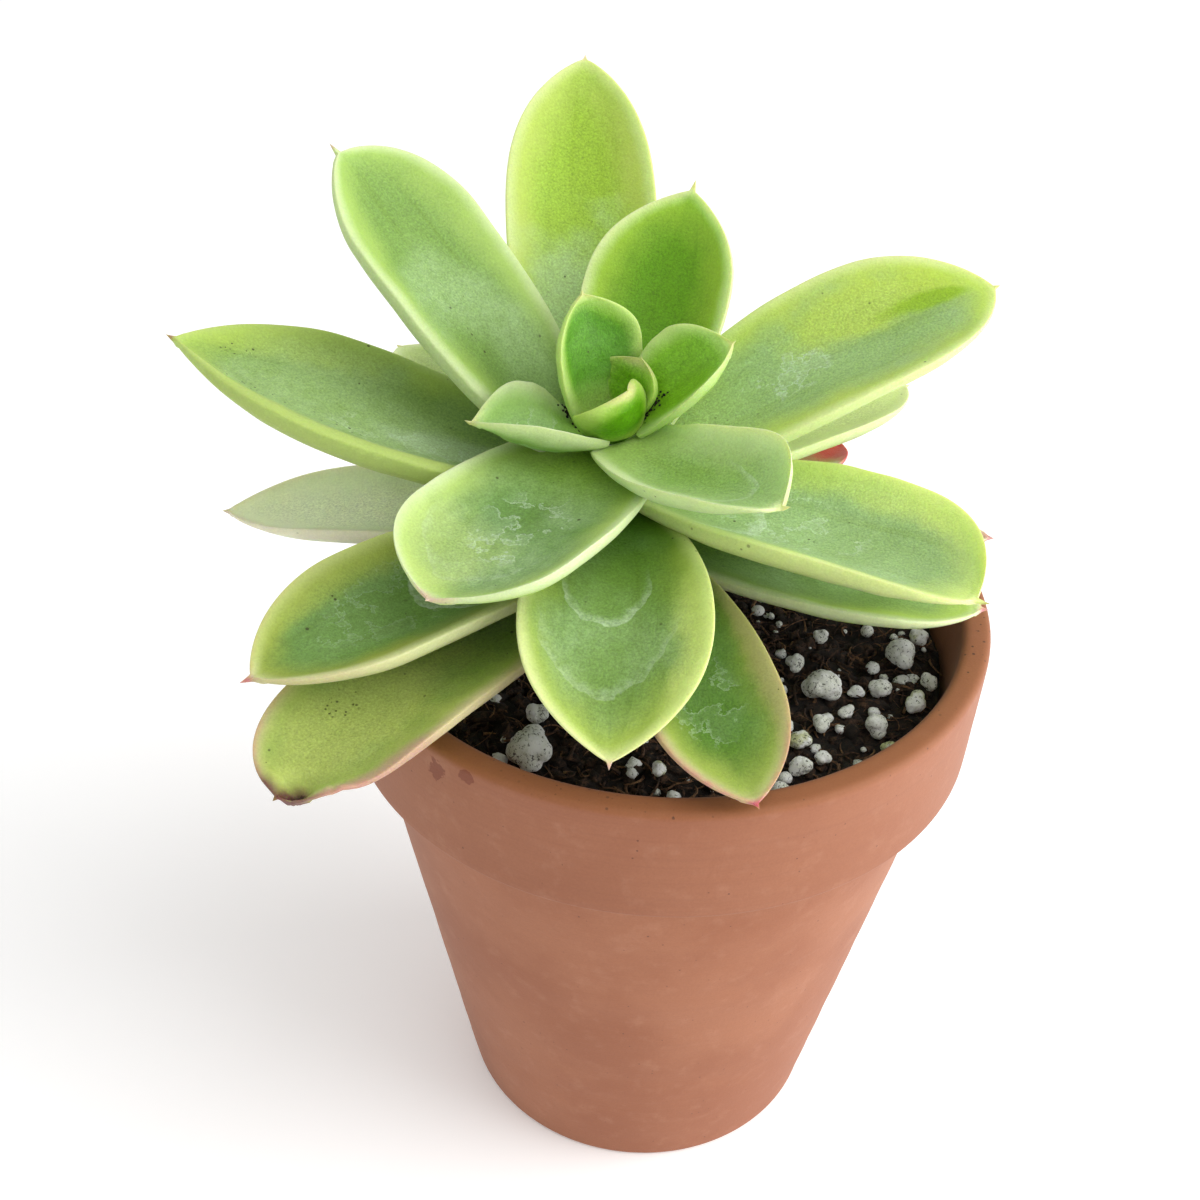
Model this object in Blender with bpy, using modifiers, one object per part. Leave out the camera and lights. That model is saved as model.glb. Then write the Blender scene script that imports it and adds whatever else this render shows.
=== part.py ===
"""A potted succulent: a rosette of fleshy leaves on a short stem, in peat with perlite, in a clay pot."""

import math
import random
from dataclasses import dataclass

import bmesh
import bpy
from mathutils import Vector

MM = 0.001

# The pot, with its axis on the plant group's own Z
POT_HEIGHT = 105 * MM
RIM_RADIUS = 52.5 * MM
BAND_HEIGHT = 21.2 * MM
BAND_FOOT_RADIUS = 51.7 * MM
NECK_RADIUS = 48.2 * MM
BASE_RADIUS = 32.3 * MM
FLOOR_THICKNESS = 6 * MM
WALL_THICKNESS = 4.5 * MM
HOLE_RADIUS = 6 * MM
EDGE_ROUND = 0.9 * MM

GAP = 0.4 * MM

# The soil, slightly heaped round the stem
SOIL_TOP_AT_WALL = 94 * MM
SOIL_TOP_AT_STEM = 95.5 * MM
POCKET_FLOOR = 84 * MM
POCKET_CLEARANCE = 1.2 * MM

# The stem leans to one side as it climbs
STEM_FOOT = 85 * MM
STEM_LEAN_START = 88 * MM
STEM_TOP = 136 * MM
STEM_LEAN = -9.5 * MM
STEM_TAPER_START = 115 * MM
STEM_FOOT_RADIUS = 5.8 * MM
STEM_TOP_RADIUS = 1.8 * MM
LEAF_GAP = 0.8 * MM

# The leaf outline: where it is widest, and the short point at its end, as shares of the length
WIDEST = 0.56
POINT_START = 0.985
POINT_FLARE = 0.90
UPPER_SHARE = 0.30
SECTION_POWER = 0.75
SPINE_STEPS = 96

ROUND_STEPS = 48


@dataclass
class Leaf:
    """Angles in degrees, lengths in millimetres; azimuth 0 is +X and grows towards +Y."""

    name: str
    azimuth: float
    height: float
    rise: tuple
    length: float
    width: float
    thickness: float = 4.0
    cup: float = 0.25
    fold: float = 0.1
    roll: float = 0.0
    bend: float = 0.0
    hook: float = 0.0
    bluntness: float = 2.6
    neck: float = 0.40


OUTER_LEAVES = [
    Leaf("leaf_outer_front_left", -129, 115, (-5, -7), 68, 26, cup=0.2, bluntness=3.5, neck=0.35),
    Leaf("leaf_outer_front_right", -72, 117, (-9, -11), 52, 23, 3.5, cup=0.2, bend=8, bluntness=3, neck=0.35),
    Leaf("leaf_outer_right", -8, 114.5, (-12, 4), 51, 25, 3.5, cup=0.2, neck=0.35),
    Leaf("leaf_outer_back_right", 50, 116, (-10, -6), 50, 20, 3, neck=0.35),
    Leaf("leaf_outer_back", 113, 114, (-8, -4), 52, 22, 3.5, neck=0.35),
    Leaf("leaf_outer_left", 175, 117, (-8, -3), 61, 22, 3.5, neck=0.35),
]

LOWER_LEAVES = [
    Leaf("leaf_lower_front_left", -138, 120, (-4, -4), 61, 26, roll=6, bluntness=3, neck=0.35),
    Leaf("leaf_lower_right", 12, 120.5, (-5, -12), 55, 20, 3, cup=0.2, neck=0.35),
    Leaf("leaf_lower_back_right", 42, 123.8, (-5, 0), 60, 23, 3.5, neck=0.33),
    Leaf("leaf_lower_back", 91, 118, (-2, 4), 56, 22, 3.5, neck=0.35),
    Leaf("leaf_lower_back_left", 133, 121, (-4, 5), 58, 24, 3.5, neck=0.35),
]

MIDDLE_LEAVES = [
    Leaf("leaf_middle_front", -88, 123, (2, -27), 49, 30, 4.2, fold=0.05, bluntness=2.4, neck=0.35),
    Leaf("leaf_middle_right", -21, 126.3, (-8, 3), 55, 26, bluntness=3.2, neck=0.35),
    Leaf("leaf_middle_left", 181, 124.5, (9, 30), 68, 30, 4.3, cup=0.3, bluntness=2.4, neck=0.36),
]

UPPER_LEAVES = [
    Leaf(
        "leaf_upper_front_left", -119, 131.5, (-13, 10), 43, 30,
        cup=0.35, fold=0.05, bend=-1, bluntness=3.6, neck=0.32,
    ),
    Leaf("leaf_upper_right", 19, 128.2, (27, 20), 62, 30, 4.3, fold=0.05, roll=-10, bluntness=3.2),
    Leaf("leaf_upper_back", 110, 122.5, (39, 49), 72, 24, 4.3, fold=0.05, bend=-22, bluntness=3, neck=0.3),
    Leaf("leaf_upper_back_left", 157, 127, (36, 43), 63, 27, 4.3, bend=-8, bluntness=3.2, neck=0.36),
]

INNER_LEAVES = [
    Leaf(
        "leaf_inner_front_right", -57, 134, (-2, 12), 32, 19, 3,
        cup=0.4, roll=-10, bend=48, hook=-55, bluntness=4, neck=0.42,
    ),
    Leaf("leaf_inner_right", 12, 135.6, (38, 46), 21, 12, 2.5, cup=0.3, fold=0.5, neck=0.33),
    Leaf("leaf_inner_back", 74, 131, (40, 58), 42, 26, 3.5, cup=0.3, fold=0.05, bend=-6, bluntness=2.4),
    Leaf("leaf_inner_left", -146, 134.2, (10, 18), 22, 13, 2.5, cup=0.3, fold=0.5, bend=-32, neck=0.32),
    Leaf("leaf_heart_back", 134, 135, (66, 84), 20, 16, 2.5, cup=0.3, neck=0.32),
    Leaf("leaf_bud_back", 63, 136.9, (80, 86), 8.5, 8, 2, cup=0.3, neck=0.3),
    Leaf("leaf_bud_front", -85, 135.5, (55, 85), 11, 12, 2.5, cup=0.3, roll=-15),
]

LEAVES = OUTER_LEAVES + LOWER_LEAVES + MIDDLE_LEAVES + UPPER_LEAVES + INNER_LEAVES

# The larger perlite grains on the soil: x, y and size in millimetres
GRAINS = [
    (-18.5, -32.5, 8.5),
    (-18.5, -23.5, 4.5),
    (1, -33.5, 3),
    (19, -36, 3.8),
    (22, -31, 4.4),
    (25.5, -28, 2.8),
    (22, -25, 4),
    (25.5, -20.5, 3.4),
    (29.5, -17, 2.8),
    (34, -20, 4.6),
    (36, -25, 3.6),
    (26, -12.5, 6.6),
    (31.5, -12, 3),
    (35.5, -11, 4.2),
    (40.5, -14, 4.4),
    (22, -6.5, 3.8),
    (39, -2.5, 6.4),
    (43.5, -8, 3.6),
    (42.5, 3.5, 4),
    (26, 1, 3.4),
    (20, 33, 5),
    (-12, 38, 4.4),
    (-34, 14, 5),
    (-38, -10, 4),
]


def clear_scene():
    for obj in list(bpy.data.objects):
        bpy.data.objects.remove(obj, do_unlink=True)


def new_material(name, colour, roughness, subsurface=0.0):
    material = bpy.data.materials.new(name)
    material.use_nodes = True
    shader = material.node_tree.nodes["Principled BSDF"]
    shader.inputs["Base Color"].default_value = (*colour, 1)
    shader.inputs["Roughness"].default_value = roughness
    shader.inputs["Metallic"].default_value = 0
    shader.inputs["Subsurface Weight"].default_value = subsurface
    return material


def add_part(name, data, material, group):
    obj = bpy.data.objects.new(name, data)
    group.objects.link(obj)
    data.materials.append(material)
    return obj


def turned(name, profile, material, group):
    """A solid of revolution from points (radius, height) that run down its outer side."""
    mesh = bpy.data.meshes.new(name)
    points = [(radius, 0, height) for radius, height in profile]
    closed = profile[0][0] > 0
    count = len(points)
    edges = [(i, (i + 1) % count) for i in range(count if closed else count - 1)]
    mesh.from_pydata(points, edges, [])
    obj = add_part(name, mesh, material, group)
    screw = obj.modifiers.new("Turn", "SCREW")
    screw.axis = "Z"
    screw.steps = ROUND_STEPS
    screw.render_steps = ROUND_STEPS
    screw.use_merge_vertices = True
    screw.merge_threshold = 0.00001
    return obj


def rounded_corner(corner, before, after, size, steps=3):
    """Points that round the corner of a profile, from the side of `before` to the side of `after`."""
    corner = Vector(corner)
    start = corner + (Vector(before) - corner).normalized() * size
    end = corner + (Vector(after) - corner).normalized() * size
    points = []
    for i in range(steps + 1):
        t = i / steps
        points.append(tuple(start * (1 - t) ** 2 + corner * 2 * t * (1 - t) + end * t**2))
    return points


def make_pot(group):
    clay = new_material("Terracotta", (0.47, 0.24, 0.15), 0.9)
    band_foot = POT_HEIGHT - BAND_HEIGHT
    rim_inside = RIM_RADIUS - WALL_THICKNESS
    neck_inside = NECK_RADIUS - WALL_THICKNESS + 2 * MM
    base_inside = BASE_RADIUS - WALL_THICKNESS
    corners = [
        (RIM_RADIUS, POT_HEIGHT),
        (BAND_FOOT_RADIUS, band_foot),
        (NECK_RADIUS, band_foot),
        (BASE_RADIUS, 0),
        (HOLE_RADIUS, 0),
        (HOLE_RADIUS, FLOOR_THICKNESS),
        (base_inside, FLOOR_THICKNESS),
        (neck_inside, band_foot),
        (rim_inside, POT_HEIGHT),
    ]
    rounded = {0: EDGE_ROUND, 1: EDGE_ROUND / 2, 3: EDGE_ROUND, 8: EDGE_ROUND}
    profile = []
    for i, corner in enumerate(corners):
        if i in rounded:
            following = corners[(i + 1) % len(corners)]
            profile += rounded_corner(corner, corners[i - 1], following, rounded[i])
        else:
            profile.append(corner)
    return turned("pot", profile, clay, group)


def inner_radius(height):
    """The pot's inner radius at a height between its floor and its band's foot."""
    band_foot = POT_HEIGHT - BAND_HEIGHT
    low = BASE_RADIUS - WALL_THICKNESS
    high = NECK_RADIUS - WALL_THICKNESS + 2 * MM
    rim = RIM_RADIUS - WALL_THICKNESS
    if height > band_foot:
        return high + (rim - high) * (height - band_foot) / BAND_HEIGHT
    return low + (high - low) * (height - FLOOR_THICKNESS) / (band_foot - FLOOR_THICKNESS)


def soil_height(radius):
    share = radius / inner_radius(SOIL_TOP_AT_WALL)
    return SOIL_TOP_AT_STEM + (SOIL_TOP_AT_WALL - SOIL_TOP_AT_STEM) * share**2


def make_soil(group):
    """The peat, clear of the pot's wall, with a pocket that the stem stands in."""
    peat = new_material("Peat", (0.025, 0.016, 0.011), 1.0)
    band_foot = POT_HEIGHT - BAND_HEIGHT
    pocket = STEM_FOOT_RADIUS + POCKET_CLEARANCE
    top_radius = inner_radius(SOIL_TOP_AT_WALL) - GAP
    profile = [(0, POCKET_FLOOR), (pocket, POCKET_FLOOR)]
    for i in range(4):
        radius = pocket + (top_radius - pocket) * i / 3
        profile.append((radius, soil_height(radius)))
    profile += [
        (inner_radius(band_foot) - GAP, band_foot),
        (inner_radius(FLOOR_THICKNESS) - GAP, FLOOR_THICKNESS + GAP),
        (0, FLOOR_THICKNESS + GAP),
    ]
    return turned("soil", profile, peat, group)


def stem_centre(height):
    """The stem's axis at a height: upright in the soil, then leaning over smoothly."""
    t = min(max((height - STEM_LEAN_START) / (STEM_TOP - STEM_LEAN_START), 0), 1)
    return Vector((STEM_LEAN * t * t * (3 - 2 * t), 0, height))


def stem_radius(height):
    t = min(max((height - STEM_TAPER_START) / (STEM_TOP - STEM_TAPER_START), 0), 1)
    return STEM_FOOT_RADIUS + (STEM_TOP_RADIUS - STEM_FOOT_RADIUS) * t


def make_stem(group):
    bark = new_material("Stem", (0.24, 0.30, 0.11), 0.8)
    curve = bpy.data.curves.new("stem", "CURVE")
    curve.dimensions = "3D"
    curve.bevel_depth = STEM_FOOT_RADIUS
    curve.bevel_resolution = 2
    curve.use_fill_caps = True
    heights = [STEM_FOOT + (STEM_TOP - STEM_FOOT) * i / 10 for i in range(11)]
    spline = curve.splines.new("POLY")
    spline.points.add(len(heights) - 1)
    for point, height in zip(spline.points, heights):
        point.co = (*stem_centre(height), 1)
        point.radius = stem_radius(height) / STEM_FOOT_RADIUS
    return add_part("stem", curve, bark, group)


def width_share(leaf, s):
    """Half width at s along the leaf, as a share of its widest half width."""
    if s <= WIDEST:
        closing = math.sqrt(1 - (1 - min(s / 0.03, 1)) ** 2)
        return closing * (leaf.neck + (1 - leaf.neck) * math.sin(math.pi / 2 * s / WIDEST))
    t = (s - WIDEST) / (1 - WIDEST)
    body = 0.0
    if t < POINT_START:
        body = (1 - (t / POINT_START) ** leaf.bluntness) ** (1.25 - 0.15 * leaf.bluntness)
    point = 1 - t if t > POINT_FLARE else 0.0
    return max(body, point)


def thickness_share(s):
    base_end = math.sqrt(1 - (1 - min(s / 0.05, 1)) ** 2)
    tip_end = min((1 - s) / 0.25, 1) ** 0.6
    return (0.75 + 0.25 * math.sin(math.pi * min(1.2 * s, 1))) * base_end * tip_end


def leaf_spine(leaf):
    """Places along the leaf's middle, each with its right-hand and upper directions."""
    azimuth = math.radians(leaf.azimuth)
    height = leaf.height * MM
    outward = Vector((math.cos(azimuth), math.sin(azimuth), 0))
    place = stem_centre(height) + outward * (stem_radius(height) + LEAF_GAP)
    step = leaf.length * MM / SPINE_STEPS
    roll = math.radians(leaf.roll)
    stations = []
    for i in range(SPINE_STEPS + 1):
        s = i / SPINE_STEPS
        rise = math.radians(leaf.rise[0] + (leaf.rise[1] - leaf.rise[0]) * s)
        hook = leaf.hook * max((s - 0.75) / 0.25, 0) ** 1.5
        heading = azimuth + math.radians(leaf.bend * s + hook)
        level = Vector((math.cos(heading), math.sin(heading), 0))
        along = level * math.cos(rise) + Vector((0, 0, math.sin(rise)))
        right = Vector((math.sin(heading), -math.cos(heading), 0))
        upper = right.cross(along)
        rolled_right = right * math.cos(roll) + upper * math.sin(roll)
        rolled_upper = upper * math.cos(roll) - right * math.sin(roll)
        stations.append((place.copy(), rolled_right, rolled_upper))
        place += along * step
    return stations


def leaf_point(leaf, stations, s, across, around):
    """A point of the leaf's skin, from its place along the length and round the section."""
    index = min(int(s * SPINE_STEPS), SPINE_STEPS - 1)
    t = s * SPINE_STEPS - index
    place, right, upper = (a.lerp(b, t) for a, b in zip(stations[index], stations[index + 1]))
    half_width = leaf.width * MM / 2 * width_share(leaf, s)
    thickness = leaf.thickness * MM * thickness_share(s)
    crease = math.sqrt(across**2 + 0.02) - math.sqrt(0.02)
    dish = (leaf.cup * across**2 + leaf.fold * crease) * math.sin(math.pi * min(0.62 * s + 0.12, 1))
    sideways = half_width * across * (1 - 0.25 * abs(dish) * across**2)
    share = UPPER_SHARE if around >= 0 else UPPER_SHARE - 1
    skin = thickness * share * abs(around) ** SECTION_POWER
    return place + right * sideways + upper * (half_width * dish + skin)


def make_leaf(leaf, material, group):
    """A ball whose rings become the leaf's cross sections, from its base to its tip."""
    small = leaf.length < 25
    cage = bmesh.new()
    bmesh.ops.create_uvsphere(cage, u_segments=8 if small else 10, v_segments=8 if small else 12, radius=1)
    stations = leaf_spine(leaf)
    for vertex in cage.verts:
        x, y, z = vertex.co
        ring = math.hypot(x, y)
        across = x / ring if ring > 1e-6 else 0.0
        around = y / ring if ring > 1e-6 else 0.0
        vertex.co = leaf_point(leaf, stations, (1 - z) / 2, across, around)
    mesh = bpy.data.meshes.new(leaf.name)
    cage.to_mesh(mesh)
    cage.free()
    mesh.shade_smooth()
    return add_part(leaf.name, mesh, material, group)


def make_grain(number, x, y, size, material, group):
    """A lumpy, flat-bottomed grain that lies on the soil."""
    chance = random.Random(number)
    lumps = [Vector([chance.uniform(-1, 1) for _ in range(3)]).normalized() for _ in range(4)]
    radius = size * MM / 2
    cage = bmesh.new()
    bmesh.ops.create_icosphere(cage, subdivisions=2, radius=radius)
    for vertex in cage.verts:
        direction = vertex.co.normalized()
        swell = sum(max(direction.dot(lump), 0) ** 3 for lump in lumps)
        vertex.co *= 0.84 + 0.14 * min(swell, 1.1)
        vertex.co.z = max(vertex.co.z * 0.8, -0.5 * radius)
    name = f"perlite_{number:02d}"
    mesh = bpy.data.meshes.new(name)
    cage.to_mesh(mesh)
    cage.free()
    grain = add_part(name, mesh, material, group)
    lowest = min(vertex.co.z for vertex in mesh.vertices)
    distance = math.hypot(x, y) * MM
    ground = soil_height(max(distance - radius, 0))
    grain.location = (x * MM, y * MM, ground + GAP - lowest)
    return grain


def centre_over_origin(plant, parts):
    """Moves the group so that its bounding box stands centred on the origin."""
    bpy.context.view_layer.update()
    graph = bpy.context.evaluated_depsgraph_get()
    places = []
    for part in parts:
        solid = part.evaluated_get(graph)
        skin = solid.to_mesh()
        places += [solid.matrix_world @ vertex.co for vertex in skin.vertices]
        solid.to_mesh_clear()
    for axis in (0, 1):
        values = [place[axis] for place in places]
        plant.location[axis] = -(min(values) + max(values)) / 2


def main():
    clear_scene()
    group = bpy.data.collections.new("Potted succulent")
    bpy.context.scene.collection.children.link(group)
    parts = [make_pot(group), make_soil(group), make_stem(group)]
    flesh = new_material("Leaf", (0.25, 0.42, 0.09), 0.5, subsurface=0.2)
    parts += [make_leaf(leaf, flesh, group) for leaf in LEAVES]
    perlite = new_material("Perlite", (0.75, 0.74, 0.70), 0.95)
    for number, (x, y, size) in enumerate(GRAINS, start=1):
        parts.append(make_grain(number, x, y, size, perlite, group))
    plant = bpy.data.objects.new("potted_succulent", None)
    group.objects.link(plant)
    for part in parts:
        part.parent = plant
    centre_over_origin(plant, parts)


main()
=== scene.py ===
"""The looks of a potted succulent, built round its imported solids."""

import math
import random
from dataclasses import dataclass

import bmesh
import bpy
from mathutils import Matrix, Vector, noise
from mathutils.bvhtree import BVHTree


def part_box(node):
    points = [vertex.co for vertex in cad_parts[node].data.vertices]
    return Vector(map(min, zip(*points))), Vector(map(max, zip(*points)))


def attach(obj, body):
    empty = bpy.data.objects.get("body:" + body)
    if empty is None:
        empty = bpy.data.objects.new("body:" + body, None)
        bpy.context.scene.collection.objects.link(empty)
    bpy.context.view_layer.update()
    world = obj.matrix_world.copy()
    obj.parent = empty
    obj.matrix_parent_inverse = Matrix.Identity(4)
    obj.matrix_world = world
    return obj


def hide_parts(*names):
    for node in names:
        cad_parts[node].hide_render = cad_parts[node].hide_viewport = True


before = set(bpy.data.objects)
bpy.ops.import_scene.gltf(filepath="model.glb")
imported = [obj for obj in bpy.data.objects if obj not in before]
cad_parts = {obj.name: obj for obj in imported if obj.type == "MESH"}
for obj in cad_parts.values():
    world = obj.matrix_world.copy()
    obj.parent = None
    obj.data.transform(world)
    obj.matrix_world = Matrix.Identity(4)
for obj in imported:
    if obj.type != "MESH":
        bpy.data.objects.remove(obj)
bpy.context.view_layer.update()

MM = 0.001
# rings of a ball narrower than this are its poles
POLE = 1e-6
POT_LOW, POT_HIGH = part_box("pot")
AXIS = Vector(((POT_LOW.x + POT_HIGH.x) / 2, (POT_LOW.y + POT_HIGH.y) / 2, 0))


def tone(red, green, blue):
    """A colour from its 0 to 255 values."""
    shares = [value / 255 for value in (red, green, blue)]
    return tuple(v / 12.92 if v <= 0.04045 else ((v + 0.055) / 1.055) ** 2.4 for v in shares)


# ---------------------------------------------------------------- finishes


class Finish:
    """A material that is mixed from patterns on the piece's own coordinates."""

    def __init__(self, name, roughness=0.6):
        self.material = bpy.data.materials.new(name)
        self.material.use_nodes = True
        self.tree = self.material.node_tree
        self.shader = self.tree.nodes["Principled BSDF"]
        self.shader.inputs["Roughness"].default_value = roughness
        self.place = self.add("ShaderNodeTexCoord").outputs["Object"]

    def add(self, kind, **settings):
        node = self.tree.nodes.new(kind)
        for key, value in settings.items():
            setattr(node, key, value)
        return node

    def feed(self, socket, value):
        if isinstance(value, bpy.types.NodeSocket):
            self.tree.links.new(value, socket)
        elif socket.type == "RGBA":
            socket.default_value = (*value, 1)
        else:
            socket.default_value = value

    def maths(self, operation, *values):
        node = self.add("ShaderNodeMath", operation=operation)
        for socket, value in zip(node.inputs, values):
            self.feed(socket, value)
        return node.outputs[0]

    def plus(self, first, second):
        return self.maths("ADD", first, second)

    def minus(self, first, second):
        return self.maths("SUBTRACT", first, second)

    def times(self, first, *others):
        for other in others:
            first = self.maths("MULTIPLY", first, other)
        return first

    def times_plus(self, value, factor, extra):
        return self.maths("MULTIPLY_ADD", value, factor, extra)

    def attribute(self, name):
        return self.add("ShaderNodeAttribute", attribute_name=name).outputs["Fac"]

    def height(self):
        node = self.add("ShaderNodeSeparateXYZ")
        self.feed(node.inputs[0], self.place)
        return node.outputs["Z"]

    def stretched(self, x, y, z):
        node = self.add("ShaderNodeMapping")
        self.feed(node.inputs["Vector"], self.place)
        node.inputs["Scale"].default_value = (x, y, z)
        return node.outputs["Vector"]

    def joined(self, x, y, z):
        node = self.add("ShaderNodeCombineXYZ")
        for socket, value in zip(node.inputs, (x, y, z)):
            self.feed(socket, value)
        return node.outputs[0]

    def clouds(self, scale, detail=3, roughness=0.5, place=None, twist=0.0):
        node = self.add("ShaderNodeTexNoise")
        self.feed(node.inputs["Vector"], place or self.place)
        node.inputs["Scale"].default_value = scale
        node.inputs["Detail"].default_value = detail
        node.inputs["Roughness"].default_value = roughness
        node.inputs["Distortion"].default_value = twist
        return node.outputs["Fac"]

    def dots(self, scale, size, share, place=None):
        """Scattered round dots: their size in cells, and the share of the cells that has one."""
        node = self.add("ShaderNodeTexVoronoi")
        self.feed(node.inputs["Vector"], place or self.place)
        node.inputs["Scale"].default_value = scale
        chance = self.add("ShaderNodeSeparateColor")
        self.feed(chance.inputs[0], node.outputs["Color"])
        picked = self.maths("LESS_THAN", chance.outputs[0], share)
        reach = self.times(chance.outputs[1], size)
        near = self.fall(node.outputs["Distance"], self.times(reach, 0.5), reach)
        return self.times(near, picked)

    def step(self, value, low, high, bottom=0.0, top=1.0):
        """A smooth rise from bottom at low to top at high."""
        node = self.add("ShaderNodeMapRange", interpolation_type="SMOOTHSTEP")
        for socket, number in zip(node.inputs, (value, low, high, bottom, top)):
            self.feed(socket, number)
        return node.outputs[0]

    def fall(self, value, low, high):
        """A smooth fall from 1 at low to 0 at high."""
        return self.step(value, low, high, 1.0, 0.0)

    def mix(self, under, over, share, blend="MIX"):
        node = self.add("ShaderNodeMix", data_type="RGBA", blend_type=blend)
        node.clamp_factor = True
        self.feed(node.inputs["Factor"], share)
        self.feed(node.inputs[6], under)
        self.feed(node.inputs[7], over)
        return node.outputs[2]

    def shaded(self, colour, shade):
        return self.mix(colour, self.joined(shade, shade, shade), 1.0, "MULTIPLY")

    def colour(self, value):
        self.feed(self.shader.inputs["Base Color"], value)

    def roughness(self, value):
        self.feed(self.shader.inputs["Roughness"], value)

    def shine(self, level):
        self.shader.inputs["Specular IOR Level"].default_value = level

    def relief(self, height, depth, strength=1.0):
        node = self.add("ShaderNodeBump")
        node.inputs["Strength"].default_value = strength
        node.inputs["Distance"].default_value = depth
        self.feed(node.inputs["Height"], height)
        self.feed(self.shader.inputs["Normal"], node.outputs[0])

    def flesh(self, weight, radius, scale):
        self.shader.inputs["Subsurface Weight"].default_value = weight
        self.shader.inputs["Subsurface Radius"].default_value = radius
        self.shader.inputs["Subsurface Scale"].default_value = scale


# ---------------------------------------------------------------- pieces


def finished(name, cage, material, nodes=()):
    """Turns a bmesh into a piece that rides with the pot and stands for its CAD nodes."""
    mesh = bpy.data.meshes.new(name)
    cage.to_mesh(mesh)
    cage.free()
    mesh.shade_smooth()
    mesh.materials.append(material)
    piece = bpy.data.objects.new(name, mesh)
    bpy.context.scene.collection.objects.link(piece)
    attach(piece, "root")
    if nodes:
        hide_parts(*nodes)
    return piece


# ---------------------------------------------------------------- the leaves

STEM_LEAN_START = 88 * MM
STEM_TOP = 136 * MM
STEM_LEAN = -9.5 * MM
STEM_TAPER_START = 115 * MM
STEM_FOOT_RADIUS = 5.8 * MM
STEM_TOP_RADIUS = 1.8 * MM
LEAF_GAP = 0.8 * MM

# places along a leaf, as shares of its length
BASE_ROUNDING = 0.03
BASE_THINNING = 0.05
WIDEST = 0.56
HOOK_START = 0.75
TIP_THINNING = 0.25

# where the blade's outline closes, as a share of the stretch past its widest place
BODY_END = 0.985

# a leaf's cross section: how much of it is above the middle, its squareness, and its lips
UPPER_SHARE = 0.30
SECTION_POWER = 0.66
CREASE_ROUNDING = 0.02
LIP_PLACE = 0.84
LIP_SPREAD = 0.24

# the fine point takes over from the blade this far before it starts, in millimetres
POINT_BLEND = 1.5

SPINE_STEPS = 120
LEAF_ROUND = 64
LEAF_RINGS = 96


@dataclass
class Leaf:
    """Angles in degrees, lengths in millimetres; azimuth 0 is +X and grows towards +Y."""

    name: str
    azimuth: float
    height: float
    rise: tuple
    length: float
    width: float
    thickness: float = 4.0
    cup: float = 0.25
    fold: float = 0.1
    roll: float = 0.0
    bend: float = 0.0
    hook: float = 0.0
    bluntness: float = 2.6
    neck: float = 0.5
    # how much the margin is thickened on each side
    lips: tuple = (0.3, 0.3)
    # the point's place across the end, extra width on each side, and the length of the fine point
    lean: float = 0.0
    flare: tuple = (0.0, 0.0)
    spike: float = 0.6
    # colours of the middle, the band round it, the margin and the base
    middle: tuple = (135, 168, 92)
    band: tuple = (178, 205, 92)
    margin: tuple = (212, 224, 176)
    foot: tuple = (160, 188, 90)
    band_width: float = 8.0
    vein: float = 0.5
    bloom: float = 0.5
    blush: float = 0.0
    tip: tuple = (196, 196, 130)
    tip_reach: float = 2.0
    # contact marks: place along and across, reach along and across, strength
    rubs: tuple = ()
    # scratched patches: place along and across, reach along and across, strength
    scratches: tuple = ()
    # torn or withered spots: place along and across, reach and depth in millimetres
    wounds: tuple = ()
    # tinted patches: place along and across, reach along and across, strength, colour
    tints: tuple = ()
    # places where soil specks gather, as the scratches' but without strength
    soots: tuple = ()
    specks: float = 0.02
    # light through the flesh
    glow: float = 0.35
    young: bool = False


def stem_centre(height):
    t = min(max((height - STEM_LEAN_START) / (STEM_TOP - STEM_LEAN_START), 0), 1)
    return AXIS + Vector((STEM_LEAN * t * t * (3 - 2 * t), 0, height))


def stem_radius(height):
    t = min(max((height - STEM_TAPER_START) / (STEM_TOP - STEM_TAPER_START), 0), 1)
    return STEM_FOOT_RADIUS + (STEM_TOP_RADIUS - STEM_FOOT_RADIUS) * t


def body_share(leaf, s):
    """Half width of the blade at s, as a share of its widest half width."""
    if s <= WIDEST:
        closing = math.sqrt(1 - (1 - min(s / BASE_ROUNDING, 1)) ** 2)
        return closing * (leaf.neck + (1 - leaf.neck) * math.sin(math.pi / 2 * s / WIDEST))
    t = (s - WIDEST) / (1 - WIDEST)
    if t >= BODY_END:
        return 0.0
    return (1 - (t / BODY_END) ** leaf.bluntness) ** (1.25 - 0.15 * leaf.bluntness)


def thickness_share(s):
    base_end = math.sqrt(1 - (1 - min(s / BASE_THINNING, 1)) ** 2)
    tip_end = max(min((1 - s) / TIP_THINNING, 1), 0) ** 0.6
    return (0.75 + 0.25 * math.sin(math.pi * min(1.2 * s, 1))) * base_end * tip_end


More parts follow.
